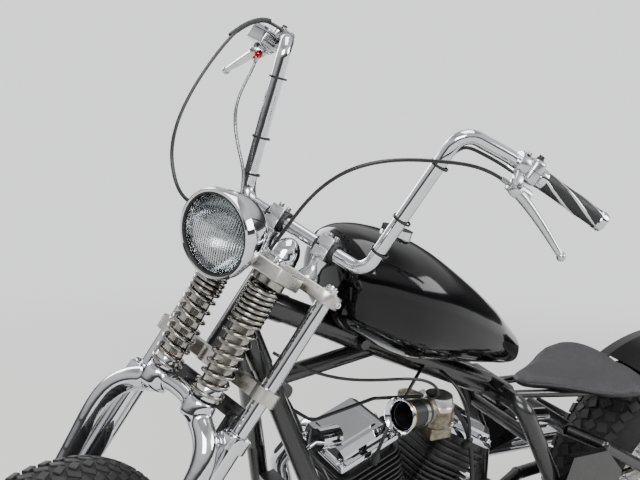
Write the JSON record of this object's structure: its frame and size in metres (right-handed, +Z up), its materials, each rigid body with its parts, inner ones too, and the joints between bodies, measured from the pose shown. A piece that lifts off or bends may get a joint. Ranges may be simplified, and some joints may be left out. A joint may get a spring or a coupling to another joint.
{
  "type": "chopper motorcycle",
  "caption": "V-twin chopper motorcycle with a leading-link springer fork, high bars, round headlight, teardrop tank and low solo saddle, parked leaning on its side stand.",
  "frame": {"origin": "centre of the bounding box's base, on the ground", "axes": "+X forward, +Y to the rider's left, +Z up"},
  "size_m": [2.3118, 0.7814, 1.3873],
  "materials": {
    "black_paint": "gloss",
    "chrome": "polished",
    "cast_alloy": "satin cast",
    "dark_steel": "satin",
    "black_plastic": "matte",
    "rubber": "matte",
    "tyre": "matte",
    "leather": "satin",
    "glass": "clear",
    "red_lens": "gloss",
    "plate": "satin"
  },
  "bodies": {
    "chassis": {"head_tube": "black_paint", "backbone": "black_paint", "left_cradle": "black_paint", "right_cradle": "black_paint", "cross_tubes": "black_paint", "seat_rails": "black_paint", "swingarm": "black_paint", "rear_shock": "chrome", "crankcase": "cast_alloy", "front_cylinder": "black_paint", "rear_cylinder": "black_paint", "front_head_cover": "chrome", "rear_head_cover": "chrome", "left_engine_cover": "chrome", "right_engine_cover": "chrome", "carburettor": "cast_alloy", "air_funnel": "black_plastic", "radiator": "black_plastic", "front_exhaust": "chrome", "rear_exhaust": "chrome", "fuel_tank": "black_paint", "fuel_cap": "chrome", "seat": "leather", "rear_fender": "black_paint", "tail_light": "red_lens", "number_plate": "plate", "side_covers": "black_paint", "left_footpeg": "chrome", "right_footpeg": "chrome", "drive_chain": "dark_steel", "engine_cables": "rubber", "horn": "chrome", "rear_caliper": "black_plastic"},
    "fork": {"steering_stem": "dark_steel", "top_clamp": "cast_alloy", "spring_plate": "cast_alloy", "rigid_legs": "chrome", "spring_fork": "chrome", "fork_springs": "dark_steel", "rockers": "chrome", "stem_cap": "chrome", "headlight": "chrome", "headlight_lens": "glass", "handlebar": "chrome", "bar_risers": "cast_alloy", "left_grip": "rubber", "right_grip": "rubber", "left_controls": "black_plastic", "right_controls": "black_plastic", "control_cables": "rubber", "front_caliper": "black_plastic"},
    "front_wheel": {"front_tyre": "tyre", "front_rim": "chrome", "front_hub": "cast_alloy", "front_spokes": "chrome"},
    "rear_wheel": {"rear_tyre": "tyre", "rear_rim": "chrome", "rear_hub": "cast_alloy", "rear_spokes": "chrome"},
    "stand": {"side_stand": "black_paint"}
  },
  "joints": [
    {"name": "steering", "type": "hinge", "parent": "chassis", "child": "fork", "pos_m": [0.3855, 0.03894, 0.93453], "axis": [-0.515, 0.1488, 0.8441], "range_deg": [-48, 0]},
    {"name": "front_wheel_spin", "type": "hinge", "parent": "fork", "child": "front_wheel", "pos_m": [0.83382, -0.03961, 0.32041], "axis": [-0.3486, 0.8633, -0.3649], "continuous": true},
    {"name": "rear_wheel_spin", "type": "hinge", "parent": "chassis", "child": "rear_wheel", "pos_m": [-0.78084, -0.06891, 0.32284], "axis": [0, 0.9848, -0.1736], "continuous": true},
    {"name": "side_stand_fold", "type": "hinge", "parent": "chassis", "child": "stand", "pos_m": [-0.22084, 0.06716, 0.15009], "axis": [0, 0.9848, 0.1736], "range_deg": [0, 100]}
  ]
}
